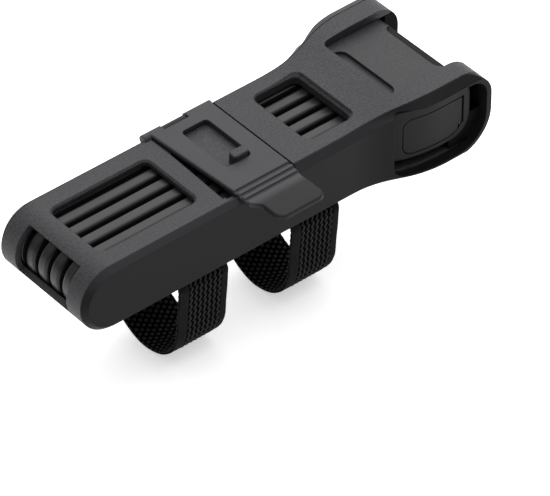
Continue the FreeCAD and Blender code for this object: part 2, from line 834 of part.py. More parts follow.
for number in range(1, 7):
    make_bar(number)
    edge_radius = 0.75 if number in (1, 6) else 1.5
    soften(make_sleeve(number), edge_radius, f"link_sleeve_{number}")


def rivet(name, x, upper, lower):
    """A rivet through two neighbouring bars, with a flush head on each outer face."""
    high, low = link_y(upper) + size("bar_thick") / 2, link_y(lower) - size("bar_thick") / 2
    head = (size("sleeve_thick") - size("bar_thick")) / 2 - 0.05
    shank = rod(name + "_shank", "y", "rivet_radius", low, high - low, (x, "pivot_z"))
    far_head = rod(name + "_far", "y", "rivet_head_radius", high, head, (x, "pivot_z"))
    near_head = rod(name + "_near", "y", "rivet_head_radius", low - head, head, (x, "pivot_z"))
    return fuse(name, shank, far_head, near_head)


def washer(name, x, upper, lower):
    middle = (link_y(upper) + link_y(lower)) / 2
    outer = rod(name + "_disc", "y", "rivet_head_radius + 0.3", f"{middle} - washer_thick / 2",
                "washer_thick", (x, "pivot_z"))
    hole = rod(name + "_hole", "y", "rivet_radius + running_gap", middle - 5, 10, (x, "pivot_z"))
    return cut(name, outer, hole)


tip_pairs = ((1, 2), (3, 4), (5, 6))
head_pairs = ((2, 3), (4, 5))
head_pivot = "tip_pivot_x + fold_length"
compound("tip_rivets", [rivet(f"tip_rivet_{a}", "tip_pivot_x", a, b) for a, b in tip_pairs],
         "fold_rivets_tip")
compound("head_rivets", [rivet(f"head_rivet_{a}", head_pivot, a, b) for a, b in head_pairs],
         "fold_rivets_head")
compound("tip_washers", [washer(f"tip_washer_{a}", "tip_pivot_x", a, b) for a, b in tip_pairs],
         "fold_washers_tip")
compound("head_washers", [washer(f"head_washer_{a}", head_pivot, a, b) for a, b in head_pairs],
         "fold_washers_head")

# ---------------------------------------------------------------- lock head

far_y, near_y = link_y(1), link_y(6)
head_block = box("head_block", ("body_back", "body_front"), ("-body_half", "body_half"),
                 ("body_low", "body_top"))
head_rounded = rounded("head_rounded", head_block, 5.5, ALONG_Y,
                       lambda place: place.x > 190 and place.z > 20)
head_rounded = rounded("head_foot", head_rounded, 12.0, ALONG_Y,
                       lambda place: place.x > 190 and place.z < 20)
head_rounded = rounded("head_back", head_rounded, 1.5, ALONG_Y,
                       lambda place: place.x < 165)
link_slots = [
    box(f"link_slot_{number}", ("body_back - 1", "pivot_x + bar_height / 2 + 0.6"),
        (f"{y} - slot_half", f"{y} + slot_half"), (4.8, 26.8))
    for number, y in enumerate((far_y, near_y))
]
pivot_hole = rod("pivot_hole", "y", "pivot_pin_radius + 0.03", 12.0, 13.0,
                 ("pivot_x", "pivot_z"))
bolt_bore = rod("bolt_bore", "y", "bolt_radius + running_gap", "bolt_tip - 0.3",
                "bolt_length + bolt_travel + 0.6", ("pivot_x", "pivot_z"))
cylinder_bore = rod("cylinder_bore", "y", "cylinder_radius", -25, 37.0,
                    ("cylinder_x", "cylinder_z"))
finger_groove = rounded("finger_groove", box("finger_groove_block", (161.5, 172.0), (-18.6, 17.6),
                                             (32.3, 40)), 4.6, ALONG_Z)
front_groove = rounded("front_groove", box("front_groove_block", (194.2, 206.0), (-18.6, 17.6),
                                           (32.0, 40)), 4.6, ALONG_Z)
lock_body = cut("lock_body_solid", head_rounded, *link_slots, pivot_hole, bolt_bore,
                cylinder_bore, finger_groove, front_groove)
publish(lock_body, "lock_body")


def face_block(depth):
    """Everything of the head inside its flared end faces, depth below them."""
    return waist_block(size("case_half") - size("cap_inset") - depth, size("head_flare"))


def on_end_face(bounds, place):
    """An edge of the flared end face that is also an edge of the cap's outline."""
    face = size("cap_half") - size("head_flare") + s_curve(
        place.x, size("flare_start"), size("flare_end"), size("head_flare"))
    upright = bounds.XLength < 0.01 and bounds.YLength < 0.01
    inside = upright and size("body_back") + 0.5 < place.x < size("body_front") - 0.5
    return abs(abs(place.y) - face) < 0.35 and abs(place.y) > size("body_half") + 1 and not inside


def cap_blank(name, sign):
    """An end cap of the lock's head: a thick plate, its outer face flared like the case."""
    span = (f"{sign} * body_half", f"{sign} * cap_half")
    low, high = span if sign > 0 else span[::-1]
    block = box(name + "_block", ("body_back", "body_front"), (low, high), ("cap_low", "cap_top"))
    shape = rounded(name + "_brow", block, 6.0, ALONG_Y,
                    lambda place: place.x > 190 and place.z > 20)
    shape = rounded(name + "_foot", shape, 11.0, ALONG_Y,
                    lambda place: place.x > 190 and place.z < 20)
    shape = rounded(name + "_back", shape, 3.0, ALONG_Y, lambda place: place.x < 165)
    flared = common(name + "_flared", shape, end_faces)
    return bevelled(name + "_bevel", flared, 1.0, on_end_face)


end_faces = shaped("end_faces", face_block(0.0))
far_cap = cap_blank("far_cap", 1)
publish(far_cap, "end_cap_far")


def panel_corners(name, block, ease):
    """Rounds a block's outline as the keyway cover's is, with ease added to each radius."""
    shape = rounded(name + "_back", block, 4.0 + ease, ALONG_Y, lambda place: place.x < 170)
    return rounded(name + "_foot", shape, 8.0 + ease, ALONG_Y,
                   lambda place: place.x > 190 and place.z < 15)


near_cap = cap_blank("near_cap", -1)
recess_block = box("recess_block", ("panel_back - panel_gap", "panel_front + panel_gap"),
                   (-40, -24), ("panel_low - panel_gap", "panel_high + panel_gap"))
panel_recess = cut("panel_recess", panel_corners("recess", recess_block, size("panel_gap")),
                   shaped("recess_floor", face_block(size("panel_recess"))))
cap_bore = rod("cap_bore", "y", "cylinder_radius + 0.05", -31, 8, ("cylinder_x", "cylinder_z"))
panel_hinge = ("panel_hinge_x", "panel_hinge_y")
cover_pin_hole = rod("cover_pin_hole", "z", "panel_pin_radius", "panel_low + 0.3",
                     "panel_high - panel_low + 2", panel_hinge)
barrel_trough = rod("barrel_trough", "z", "panel_barrel_radius + panel_gap", "panel_low + 4.1",
                    "panel_high - panel_low - 4.1", panel_hinge)
barrel_mouth = box("barrel_mouth", ("panel_hinge_x", "panel_front + panel_gap"),
                   (-40, "panel_hinge_y"), ("panel_low + 4.1", "panel_high"))
near_cap_cut = cut("near_cap_cut", near_cap, panel_recess, cap_bore, cover_pin_hole,
                   barrel_trough, barrel_mouth)
publish(near_cap_cut, "end_cap_near")

# the keyway cover swings outward about a pin along its front edge
cover_block = box("cover_block", ("panel_back", "panel_front"), (-40, -24),
                  ("panel_low", "panel_high"))
cover_outline = panel_corners("cover", cover_block, 0.0)
cover_plate = cut("cover_plate", common("cover_faced", cover_outline, end_faces),
                  shaped("cover_back_face", face_block(size("panel_thick"))),
                  box("past_hinge", ("panel_hinge_x", 240), (-60, 0), (-20, 90)),
                  box("foot_relief", ("panel_hinge_x - panel_foot_relief", 240), (-60, 0),
                      (-20, "panel_low + 4.5")))
cover_barrel = rod("cover_barrel", "z", "panel_barrel_radius", "panel_low + 4.5",
                   "panel_high - panel_low - 4.9", panel_hinge)
cover_bore = rod("cover_bore", "z", "panel_pin_radius + running_gap", "panel_low",
                 "panel_high - panel_low + 1", panel_hinge)
keyway_cover = cut("keyway_cover_solid", fuse("keyway_cover_blank", cover_plate, cover_barrel),
                   cover_bore)
publish(keyway_cover, "keyway_cover")
publish(rod("keyway_cover_pin_rod", "z", "panel_pin_radius", "panel_low + 0.5",
            "panel_high - panel_low + 1.6", panel_hinge), "keyway_cover_pin")

# ---------------------------------------------------------------- lock cylinder

housing_rod = rod("housing_rod", "y", "cylinder_radius", -30.2, 42.1, ("cylinder_x", "cylinder_z"))
plug_bore = rod("plug_bore", "y", "plug_radius + running_gap", -31, 35, ("cylinder_x", "cylinder_z"))
pin_rows = [-26.0 + 5.2 * place for place in range(5)]
pin_chambers = [
    rod(f"pin_chamber_{number}", "z", 1.3, "cylinder_z", "cylinder_radius - 0.6",
        ("cylinder_x", y))
    for number, y in enumerate(pin_rows)
]
housing = cut("housing", housing_rod, plug_bore, *pin_chambers)
publish(housing, "cylinder_housing")

plug_rod = rod("plug_rod", "y", "plug_radius", -30.1, 32.7, ("cylinder_x", "cylinder_z"))
key_slot = box("key_slot", ("cylinder_x - 0.6", "cylinder_x + 0.6"), (-31, -1.5),
               ("cylinder_z - 3.9", "cylinder_z + 3.4"))
plug_chambers = [
    rod(f"plug_chamber_{number}", "z", 1.25, "cylinder_z", "plug_radius", ("cylinder_x", y))
    for number, y in enumerate(pin_rows)
]
plug = cut("plug", plug_rod, key_slot, *plug_chambers)
publish(plug, "cylinder_plug")
compound("key_pin_rods", [
    rod(f"key_pin_{number}", "z", 1.2, "cylinder_z + 3.5", "plug_radius - 3.7", ("cylinder_x", y))
    for number, y in enumerate(pin_rows)
], "key_pins")
compound("driver_pin_rods", [
    rod(f"driver_pin_{number}", "z", 1.2, "cylinder_z + plug_radius + 0.15", 0.95,
        ("cylinder_x", y))
    for number, y in enumerate(pin_rows)
], "driver_pins")

# the bolt slides along Y in the head and enters the eye in link 6
bolt_rod = rod("bolt_rod", "y", "bolt_radius", "bolt_tip", "bolt_length", ("pivot_x", "pivot_z"))
publish(bolt_rod, "locking_bolt")
publish(rod("pivot_pin_rod", "y", "pivot_pin_radius", 12.2, 11.8, ("pivot_x", "pivot_z")),
        "body_pivot_pin")

# ---------------------------------------------------------------- corner bumpers


def bumper_shape():
    """The far rubber corner on the head: a band that carries on the case's front, a web, and
    a wedge under the end cap's round foot."""
    inner, outer = size("top_cut_half"), size("cap_half")
    start, foot = size("body_front") + 0.02, size("wall") + size("bumper_gap")
    tall = size("head_bay_top") - size("bumper_gap") - foot
    corner = Vector(start, inner, foot)
    room = Part.makeBox(30, outer - inner, tall, corner)
    band = front_block(60).cut(front_block(60, size("bumper_thick"))).common(room)
    web = front_block(60).common(Part.makeBox(30, size("bumper_thick"), tall, corner))
    wedge_back, wedge_inner = size("bumper_wedge_back"), size("body_half") + 0.02
    wedge = Part.makeBox(40, outer - wedge_inner, 14, Vector(wedge_back, wedge_inner, foot))
    head = far_cap.Shape.translated(-ROW_SHIFT)
    wedge = wedge.common(front_block(60)).cut(head)
    return band.fuse([web, wedge]).removeSplitter()


far_bumper = bumper_shape()
near_bumper = far_bumper.mirror(Vector(), Vector(0, 1, 0))
publish(shaped("bumper_far", far_bumper), "corner_bumper_far")
publish(shaped("bumper_near", near_bumper), "corner_bumper_near")

# ---------------------------------------------------------------- straps and bridges


def arc_point(angle, radius):
    """A point of the tube seat, seen along X, in holster coordinates."""
    centre_z = -size("floor_z")
    return Vector(0, radius * math.sin(angle), centre_z - radius * math.cos(angle))


def strap_outline(offset):
    """The strap's loop: straight across the top, down both sides and round the tube."""
    radius = size("tube_radius") + offset
    shoulder = size("strap_leg_half") - size("strap_thick") + offset
    top = size("strap_slot_top") - size("strap_thick") + offset
    corner = 2.5 + offset
    rise = top - corner + size("floor_z")
    turn = math.atan2(shoulder, -rise) - math.acos(radius / math.hypot(shoulder, rise))
    right, left = arc_point(turn, radius), arc_point(-turn, radius)
    bend = corner * (1 - math.sqrt(0.5))
    start = Vector(0, shoulder, top - corner)
    curves = [
        Part.Arc(left, arc_point(0, radius), right),
        Part.LineSegment(right, start),
        Part.Arc(start, Vector(0, shoulder - bend, top - bend), Vector(0, shoulder - corner, top)),
        Part.LineSegment(Vector(0, shoulder - corner, top), Vector(0, corner - shoulder, top)),
        Part.Arc(Vector(0, corner - shoulder, top), Vector(0, bend - shoulder, top - bend),
                 Vector(0, -shoulder, top - corner)),
        Part.LineSegment(Vector(0, -shoulder, top - corner), left),
    ]
    return Part.Wire([curve.toShape() for curve in curves])


def strap_shape(x):
    outer = Part.Face(strap_outline(size("strap_thick")))
    inner = Part.Face(strap_outline(0.0))
    loop = outer.extrude(Vector(size("strap_width"), 0, 0)).cut(
        inner.extrude(Vector(size("strap_width"), 0, 0)))
    loop.translate(Vector(x, 0, 0))
    return loop


for label, x_alias in strap_places:
    publish(shaped(f"strap_{label}_loop", strap_shape(size(x_alias))), f"strap_{label}")
    block = box(f"bridge_{label}_block", (f"{x_alias} - 1.6", f"{x_alias} + strap_width + 1.6"),
                ("-bridge_half", "bridge_half"), ("-bridge_depth", 0))
    flange = box(f"bridge_{label}_flange",
                 (f"{x_alias} - flange_reach", f"{x_alias} + strap_width + flange_reach"),
                 ("-flange_half", "flange_half"), ("-flange_thick", 0))
    bridge = fuse(f"bridge_{label}_blank", block, flange)
    slot = box(f"bridge_{label}_slot", (f"{x_alias} - 0.3", f"{x_alias} + strap_width + 0.3"),
               (-40, 40), ("strap_slot_top - strap_thick - 0.2", "strap_slot_top + 0.2"))
    seat = rod(f"bridge_{label}_seat", "x", "tube_radius + pad_thick + 0.05", 0, 200,
               (0, "-floor_z"))
    publish(cut(f"bridge_{label}", bridge, slot, seat, *screw_holes[label]),
            f"strap_bridge_{label}")
    pad_blank = rod(f"pad_{label}_outer", "x", "tube_radius + pad_thick", f"{x_alias}",
                    "strap_width", (0, "-floor_z"))
    pad_inner = rod(f"pad_{label}_inner", "x", "tube_radius", f"{x_alias} - 1",
                    "strap_width + 2", (0, "-floor_z"))
    pad_limits = box(f"pad_{label}_limits", (f"{x_alias} - 1", f"{x_alias} + strap_width + 1"),
                     (-13.0, 13.0), ("-floor_z + 5", 0))
    pad_ring = cut(f"pad_{label}_ring", pad_blank, pad_inner)
    publish(common(f"pad_{label}", pad_ring, pad_limits), f"saddle_pad_{label}")

# ---------------------------------------------------------------- checks and files

doc.recompute()
for thing in doc.Objects:
    if "Invalid" in thing.State or "Error" in thing.State:
        raise RuntimeError(f"{thing.Name} ({thing.Label}) failed: {thing.State}")
os.makedirs("parts", exist_ok=True)
for thing in subparts:
    shape = thing.Shape
    if shape.isNull() or not shape.isValid():
        raise RuntimeError(f"{thing.Label} has no valid shape")
    shape.exportStep(f"parts/{thing.Label}.step")
    bounds = shape.BoundBox
    print(f"{thing.Label:22s} solids {len(shape.Solids)} volume {shape.Volume:10.1f}"
          f"  x {bounds.XMin:7.2f} {bounds.XMax:7.2f}  y {bounds.YMin:7.2f} {bounds.YMax:7.2f}"
          f"  z {bounds.ZMin:7.2f} {bounds.ZMax:7.2f}")
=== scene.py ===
import json
import math

import bpy
from mathutils import Matrix, Vector


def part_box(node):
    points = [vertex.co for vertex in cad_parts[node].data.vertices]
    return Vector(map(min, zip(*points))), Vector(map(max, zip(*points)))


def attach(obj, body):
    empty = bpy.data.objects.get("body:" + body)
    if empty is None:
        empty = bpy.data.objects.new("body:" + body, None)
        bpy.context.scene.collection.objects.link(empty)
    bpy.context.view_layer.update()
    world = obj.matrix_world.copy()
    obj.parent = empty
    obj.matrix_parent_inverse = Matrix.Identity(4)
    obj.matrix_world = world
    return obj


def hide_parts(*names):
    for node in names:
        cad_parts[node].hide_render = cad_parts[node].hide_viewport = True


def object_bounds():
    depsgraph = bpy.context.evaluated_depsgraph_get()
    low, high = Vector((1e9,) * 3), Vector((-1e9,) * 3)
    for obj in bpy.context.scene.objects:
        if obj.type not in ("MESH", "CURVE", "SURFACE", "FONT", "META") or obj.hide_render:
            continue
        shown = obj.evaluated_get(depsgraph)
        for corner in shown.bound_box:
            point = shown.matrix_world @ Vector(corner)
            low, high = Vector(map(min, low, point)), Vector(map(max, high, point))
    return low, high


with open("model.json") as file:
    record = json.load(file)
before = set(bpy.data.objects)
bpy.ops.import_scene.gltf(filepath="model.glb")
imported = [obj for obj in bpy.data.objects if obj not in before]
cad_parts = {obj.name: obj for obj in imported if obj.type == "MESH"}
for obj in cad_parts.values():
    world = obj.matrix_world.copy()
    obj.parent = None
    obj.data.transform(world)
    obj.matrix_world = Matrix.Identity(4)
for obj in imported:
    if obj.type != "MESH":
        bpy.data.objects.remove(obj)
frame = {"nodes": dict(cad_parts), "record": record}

# A folding bike lock stowed in its frame holster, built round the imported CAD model.
# Places are given in millimetres in holster coordinates: x from the holster's round tip,
# y from its middle plane, z from its underside.

MM = 0.001
NODES = frame["nodes"]
cad_low, cad_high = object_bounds()
shell_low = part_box("case_shell")[0]
HOLSTER = Vector((shell_low.x, 0.0, shell_low.z))
scene = bpy.context.scene


def at(x, y, z):
    """A point of the holster, in the row frame."""
    return HOLSTER + Vector((x, y, z)) * MM


def on_axis(axis, places):
    """Places along one of the holster's axes, as metres in the row frame."""
    start = HOLSTER["XYZ".index(axis)]
    return [start + place * MM for place in places]


# ------------------------------------------------------------------ camera and light

CAMERA_TURN = math.radians(-39.83)
CAMERA_RISE = math.radians(41.01)
CAMERA_ROLL = math.radians(-0.15)
CAMERA_PLACE = (-852.0, -1167.0, 1286.0)
CAMERA_LENS = 316.6
SKY_TOWARD = (0.36, 0.42, 0.83)
SKY_SPREAD = (-0.45, 0.95)
SKY_DIM = 0.10
SKY_BRIGHT = 0.95
LIGHT_AIM = (0.0, 0.0, 0.03)
KEY_PLACE = (0.62, 0.74, 0.84)
KEY_SIZE = (1.3, 1.0)
KEY_WATTS = 8.0
FILL_PLACE = (0.10, -0.05, 1.10)
FILL_SIZE = (1.0, 1.0)
FILL_WATTS = 6.0
FLOOR_REACH = 6.0
FLOOR_GAP = 0.0005
PAPER_LEVEL = 0.92
PAPER_GLOW = 0.5


def add_camera():
    right = Vector((math.cos(CAMERA_TURN), math.sin(CAMERA_TURN), 0.0))
    level = Vector((math.sin(CAMERA_TURN), -math.cos(CAMERA_TURN), 0.0))
    back = level * math.cos(CAMERA_RISE) + Vector((0.0, 0.0, math.sin(CAMERA_RISE)))
    up = back.cross(right)
    turn = Matrix((right, up, back)).transposed().to_4x4()
    data = bpy.data.cameras.new("camera")
    data.lens = CAMERA_LENS
    data.sensor_width = 36.0
    data.clip_start = 0.05
    camera = bpy.data.objects.new("camera", data)
    camera.matrix_world = (
        Matrix.Translation(at(*CAMERA_PLACE)) @ turn @ Matrix.Rotation(CAMERA_ROLL, 4, "Z")
    )
    scene.collection.objects.link(camera)
    scene.camera = camera


def area_light(name, place, size, power):
    """A soft rectangle of light, turned towards the object."""
    data = bpy.data.lights.new(name, "AREA")
    data.shape = "RECTANGLE"
    data.size, data.size_y = size
    data.energy = power
    lamp = bpy.data.objects.new(name, data)
    direction = Vector(LIGHT_AIM) - Vector(place)
    turn = direction.to_track_quat("-Z", "Y").to_matrix().to_4x4()
    lamp.matrix_world = Matrix.Translation(Vector(place)) @ turn
    scene.collection.objects.link(lamp)


def add_sky():
    """A soft dome, brightest above and behind the object, dimmer low at the front left."""
    world = bpy.data.worlds.new("studio")
    world.use_nodes = True
    tree = world.node_tree
    direction = tree.nodes.new("ShaderNodeTexCoord")
    toward = tree.nodes.new("ShaderNodeVectorMath")
    toward.operation = "DOT_PRODUCT"
    toward.inputs[1].default_value = SKY_TOWARD
    spread = tree.nodes.new("ShaderNodeMapRange")
    spread.interpolation_type = "SMOOTHSTEP"
    for socket, number in zip(spread.inputs[1:5], (*SKY_SPREAD, SKY_DIM, SKY_BRIGHT)):
        socket.default_value = number
    background = tree.nodes["Background"]
    tree.links.new(direction.outputs["Generated"], toward.inputs[0])
    tree.links.new(toward.outputs["Value"], spread.inputs["Value"])
    tree.links.new(spread.outputs["Result"], background.inputs["Strength"])
    background.inputs["Color"].default_value = (1.0, 1.0, 1.0, 1.0)
    scene.world = world


def add_studio():
    scene.view_settings.view_transform = "Standard"
    add_sky()
    area_light("key_behind", KEY_PLACE, KEY_SIZE, KEY_WATTS)
    area_light("soft_above", FILL_PLACE, FILL_SIZE, FILL_WATTS)

    mesh = bpy.data.meshes.new("studio_floor")
    floor_z = cad_low.z - FLOOR_GAP
    corners = [(-1, -1), (1, -1), (1, 1), (-1, 1)]
    mesh.from_pydata([(x * FLOOR_REACH, y * FLOOR_REACH, floor_z) for x, y in corners],
                     [], [(0, 1, 2, 3)])
    floor = bpy.data.objects.new("studio_floor", mesh)
    scene.collection.objects.link(floor)
    paper = bpy.data.materials.new("studio_paper")
    paper.use_nodes = True
    shader = paper.node_tree.nodes["Principled BSDF"]
    shader.inputs["Base Color"].default_value = (PAPER_LEVEL, PAPER_LEVEL, PAPER_LEVEL, 1.0)
    shader.inputs["Roughness"].default_value = 0.9
    shader.inputs["Emission Color"].default_value = (1.0, 1.0, 1.0, 1.0)
    shader.inputs["Emission Strength"].default_value = PAPER_GLOW
    mesh.materials.append(paper)


add_camera()
add_studio()

# ------------------------------------------------------------------ materials


class Graph:
    """A short way to write a material's nodes."""

    def __init__(self, name):
        self.material = bpy.data.materials.new(name)
        self.material.use_nodes = True
        self.tree = self.material.node_tree
        self.shader = self.tree.nodes["Principled BSDF"]

    def node(self, kind, settings=None, **inputs):
        made = self.tree.nodes.new(kind)
        for key, value in (settings or {}).items():
            setattr(made, key, value)
        for key, value in inputs.items():
            self.feed(made.inputs[key.replace("_", " ")], value)
        return made

    def feed(self, socket, value):
        if isinstance(value, bpy.types.NodeSocket):
            self.tree.links.new(value, socket)
        else:
            socket.default_value = value

    def place(self):
        return self.node("ShaderNodeTexCoord").outputs["Object"]

    def noise(self, scale, detail=2.0, rough=0.5, stretch=None, vector=None):
        vector = vector or self.place()
        if stretch:
            vector = self.node("ShaderNodeMapping", Vector=vector, Scale=stretch).outputs["Vector"]
        made = self.node("ShaderNodeTexNoise", Vector=vector, Scale=scale, Detail=detail,
                         Roughness=rough)
        return made.outputs["Fac"]

    def span(self, value, low, high, out_low=0.0, out_high=1.0):
        made = self.node("ShaderNodeMapRange", Value=value)
        for socket, number in zip(made.inputs[1:5], (low, high, out_low, out_high)):
            socket.default_value = number
        return made.outputs["Result"]

    def math(self, operation, first, second):
        made = self.node("ShaderNodeMath", {"operation": operation})
        self.feed(made.inputs[0], first)
        self.feed(made.inputs[1], second)
        return made.outputs["Value"]

    def mix(self, share, first, second):
        made = self.node("ShaderNodeMix", {"data_type": "RGBA"})
        self.feed(made.inputs["Factor"], share)
        self.feed(made.inputs[6], first)
        self.feed(made.inputs[7], second)
        return made.outputs[2]

    def bump(self, height, depth, normal=None):
        made = self.node("ShaderNodeBump", Height=height, Strength=1.0, Distance=depth)
        if normal:
            self.feed(made.inputs["Normal"], normal)
        return made.outputs["Normal"]


# faces that look up get painted top light between these heights, painted lighter as if lit from above:
# it comes in over the first pair and is gone again over the second
TOP_LIGHT_FROM = (20.0, 26.0)
TOP_LIGHT_TO = (36.0, 33.0)
# darker, duller zones: the floor of the head's front groove, where the darkening is painted shade in
# the recess, and the flap's pull tab. Each has its axis, where it starts and is full, its share of the
# level and of the shine.
GROOVE_FLOOR_SHADE = ("Z", (32.2, 32.1), 0.4, 0.3)
PULL_TAB = ("Y", (-33.0, -36.5), 0.45, 0.55)


def grey(level, tint=(1.0, 1.0, 1.08)):
    return tuple(level * part for part in tint) + (1.0,)


def moulded(name, level, rough, grain_scale, grain_depth, edge_radius, shine=0.3, wear=0.5,
            flecks=0.25, tint=(1.0, 1.0, 1.10), painted_top_light=1.0, dull=None):
    """Moulded plastic or rubber: a fine grain, soft edges that are rubbed a little lighter.

    The argument after tint sets how much lighter faces that look up are painted, a painted top light
    standing in for light from above, and dull is one of the zones above.
    """
    graph = Graph(name)
    soft = graph.node("ShaderNodeBevel", {"samples": 6}, Radius=edge_radius).outputs["Normal"]
    true_normal = graph.node("ShaderNodeNewGeometry").outputs["Normal"]
    facing = graph.node("ShaderNodeVectorMath", {"operation": "DOT_PRODUCT"})
    graph.feed(facing.inputs[0], soft)
    graph.feed(facing.inputs[1], true_normal)
    edge = graph.span(facing.outputs["Value"], 0.995, 0.80)
    patches = graph.noise(90.0, detail=4.0, rough=0.6)
    rubbed = graph.math("MULTIPLY", edge, graph.span(patches, 0.35, 0.7, 0.25 * wear, wear))
    grain = graph.noise(grain_scale, detail=3.0, rough=0.65)
    cloudy = graph.noise(28.0, detail=3.0)
    deep, bright = grey(level * (1.0 - flecks), tint), grey(level * (1.0 + flecks), tint)
    base = graph.mix(graph.span(grain, 0.3, 0.7), deep, bright)
    base = graph.mix(graph.math("MULTIPLY", graph.span(cloudy, 0.3, 0.7), 0.25), base,
                     grey(level * 1.35, tint))
    place = graph.node("ShaderNodeSeparateXYZ", Vector=graph.place()).outputs
    height = place["Z"]
    gloss = shine
    # painted top light: faces that look up, in a band of heights, are painted lighter as if lit from
    # above
    if painted_top_light > 1.0:
        upward = graph.node("ShaderNodeSeparateXYZ", Vector=soft).outputs["Z"]
        band = graph.math("MULTIPLY", graph.span(height, *on_axis("Z", TOP_LIGHT_FROM)),
                          graph.span(height, *on_axis("Z", TOP_LIGHT_TO)))
        top_light_mask = graph.math("MULTIPLY", graph.span(upward, 0.15, 0.75), band)
        base = graph.mix(top_light_mask, base, grey(level * painted_top_light, tint))
    # a dull zone is mixed darker and made less shiny; on the groove floor the darker colour is painted
    # shade
    if dull:
        axis, places, level_share, shine_share = dull
        zone = graph.span(place[axis], *on_axis(axis, places))
        base = graph.mix(zone, base, grey(level * level_share, tint))
        gloss = graph.span(zone, 0.0, 1.0, shine, shine * shine_share)
    worn = graph.mix(rubbed, base, grey(level * 2.0 + 0.006, tint))
    graph.feed(graph.shader.inputs["Base Color"], worn)
    graph.feed(graph.shader.inputs["Specular IOR Level"], gloss)
    graph.feed(graph.shader.inputs["Roughness"],
               graph.math("ADD", graph.span(cloudy, 0.3, 0.7, rough - 0.04, rough + 0.04),
                          graph.math("MULTIPLY", rubbed, 0.1)))
    graph.feed(graph.shader.inputs["Normal"], graph.bump(grain, grain_depth, soft))
    return graph.material


def webbing(name):
    """Woven hook-and-loop: painted shade between the raised cords, each cord of fine twisted yarn."""
    graph = Graph(name)
    height = graph.node("ShaderNodeAttribute", {"attribute_name": "relief"}).outputs["Fac"]
    place = graph.place()
    yarn = graph.noise(2600.0, detail=3.0, rough=0.6, stretch=(1.0, 0.6, 0.6), vector=place)
    fuzz = graph.noise(700.0, detail=4.0, rough=0.7, vector=place)
    # painted shade: the colour falls to near black where the relief is low, in the holes between the
    # cords and along the middle of the edge
    share = graph.math("MULTIPLY", graph.span(height, 0.20, 0.90),
                       graph.span(yarn, 0.25, 0.7, 0.5, 1.1))
    base = graph.mix(share, grey(0.0006), grey(0.038))
    base = graph.mix(graph.math("MULTIPLY", graph.span(fuzz, 0.50, 0.80), 0.12), base, grey(0.035))
    graph.feed(graph.shader.inputs["Base Color"], base)
    graph.shader.inputs["Roughness"].default_value = 0.85
    graph.feed(graph.shader.inputs["Specular IOR Level"], graph.span(height, 0.3, 0.9, 0.0, 0.12))
    graph.shader.inputs["Sheen Weight"].default_value = 0.02
    graph.shader.inputs["Sheen Roughness"].default_value = 0.4
    coarse = graph.bump(fuzz, 0.00012)
    graph.feed(graph.shader.inputs["Normal"], graph.bump(yarn, 0.00010, coarse))
    return graph.material


def metal(name, colour, rough, brush=(1.0, 1.0, 1.0), depth=0.00002):
    """Metal: fine lines of machining, faint stains."""
    graph = Graph(name)
    soft = graph.node("ShaderNodeBevel", {"samples": 4}, Radius=0.0002).outputs["Normal"]
    lines = graph.noise(900.0, detail=4.0, rough=0.7, stretch=brush)
    stains = graph.noise(120.0, detail=4.0)
    dull = tuple(part * 0.7 for part in colour[:3]) + (1.0,)
    graph.feed(graph.shader.inputs["Base Color"],
               graph.mix(graph.span(stains, 0.35, 0.7), colour, dull))
    graph.shader.inputs["Metallic"].default_value = 1.0
    graph.feed(graph.shader.inputs["Roughness"], graph.span(lines, 0.3, 0.7, rough - 0.08, rough + 0.1))
    graph.feed(graph.shader.inputs["Normal"], graph.bump(lines, depth, soft))
    return graph.material


FINISHES = {
    "case_plastic": moulded("case_plastic", 0.030, 0.52, 1300.0, 0.00026, 0.0005, shine=0.26,
                            flecks=0.6),
    "cover_plastic": moulded("cover_plastic", 0.0080, 0.42, 2500.0, 0.00001, 0.0005, shine=0.07,
                             wear=0.3, flecks=0.05, painted_top_light=4.0),
    "flap_rubber": moulded("flap_rubber", 0.030, 0.52, 1900.0, 0.00006, 0.0008, shine=0.26,
                           wear=0.3, dull=PULL_TAB),
    "bridge_plastic": moulded("bridge_plastic", 0.010, 0.5, 1800.0, 0.00004, 0.0004, shine=0.2),
    "soft_rubber": moulded("soft_rubber", 0.003, 0.62, 1800.0, 0.00004, 0.0005, shine=0.04,
                           wear=0.3),
    "sleeve_plastic": moulded("sleeve_plastic", 0.009, 0.34, 2600.0, 0.00002, 0.0003, shine=0.30,
                              wear=0.6, flecks=0.1),
    "head_plastic": moulded("head_plastic", 0.024, 0.50, 1500.0, 0.00012, 0.0005, shine=0.26,
                            flecks=0.4, dull=GROOVE_FLOOR_SHADE),
    "cap_plastic": moulded("cap_plastic", 0.0075, 0.38, 2600.0, 0.00002, 0.0006, shine=0.10,
                           wear=1.0, flecks=0.08, painted_top_light=1.6),
    "strap_fabric": webbing("strap_fabric"),
    "screw_steel": moulded("screw_steel", 0.05, 0.35, 2600.0, 0.00001, 0.0002, wear=0.8),
    "rivet_steel": moulded("rivet_steel", 0.04, 0.35, 2600.0, 0.00001, 0.0002, wear=0.8),
    "pin_steel": metal("pin_steel", (0.10, 0.10, 0.11, 1.0), 0.42, (0.1, 1.0, 1.0)),
    "link_steel": metal("link_steel", (0.5, 0.5, 0.51, 1.0), 0.35, (0.08, 1.0, 1.0)),
    "cylinder_brass": metal("cylinder_brass", (0.72, 0.56, 0.3, 1.0), 0.3, (1.0, 0.1, 1.0)),
}


def dress_nodes():
    for entry in frame["record"]["subparts"]:
        node = NODES[entry["node"]]
        node.data.materials.clear()
        node.data.materials.append(FINISHES[entry["material_slot"]])


dress_nodes()

# ------------------------------------------------------------------ straps

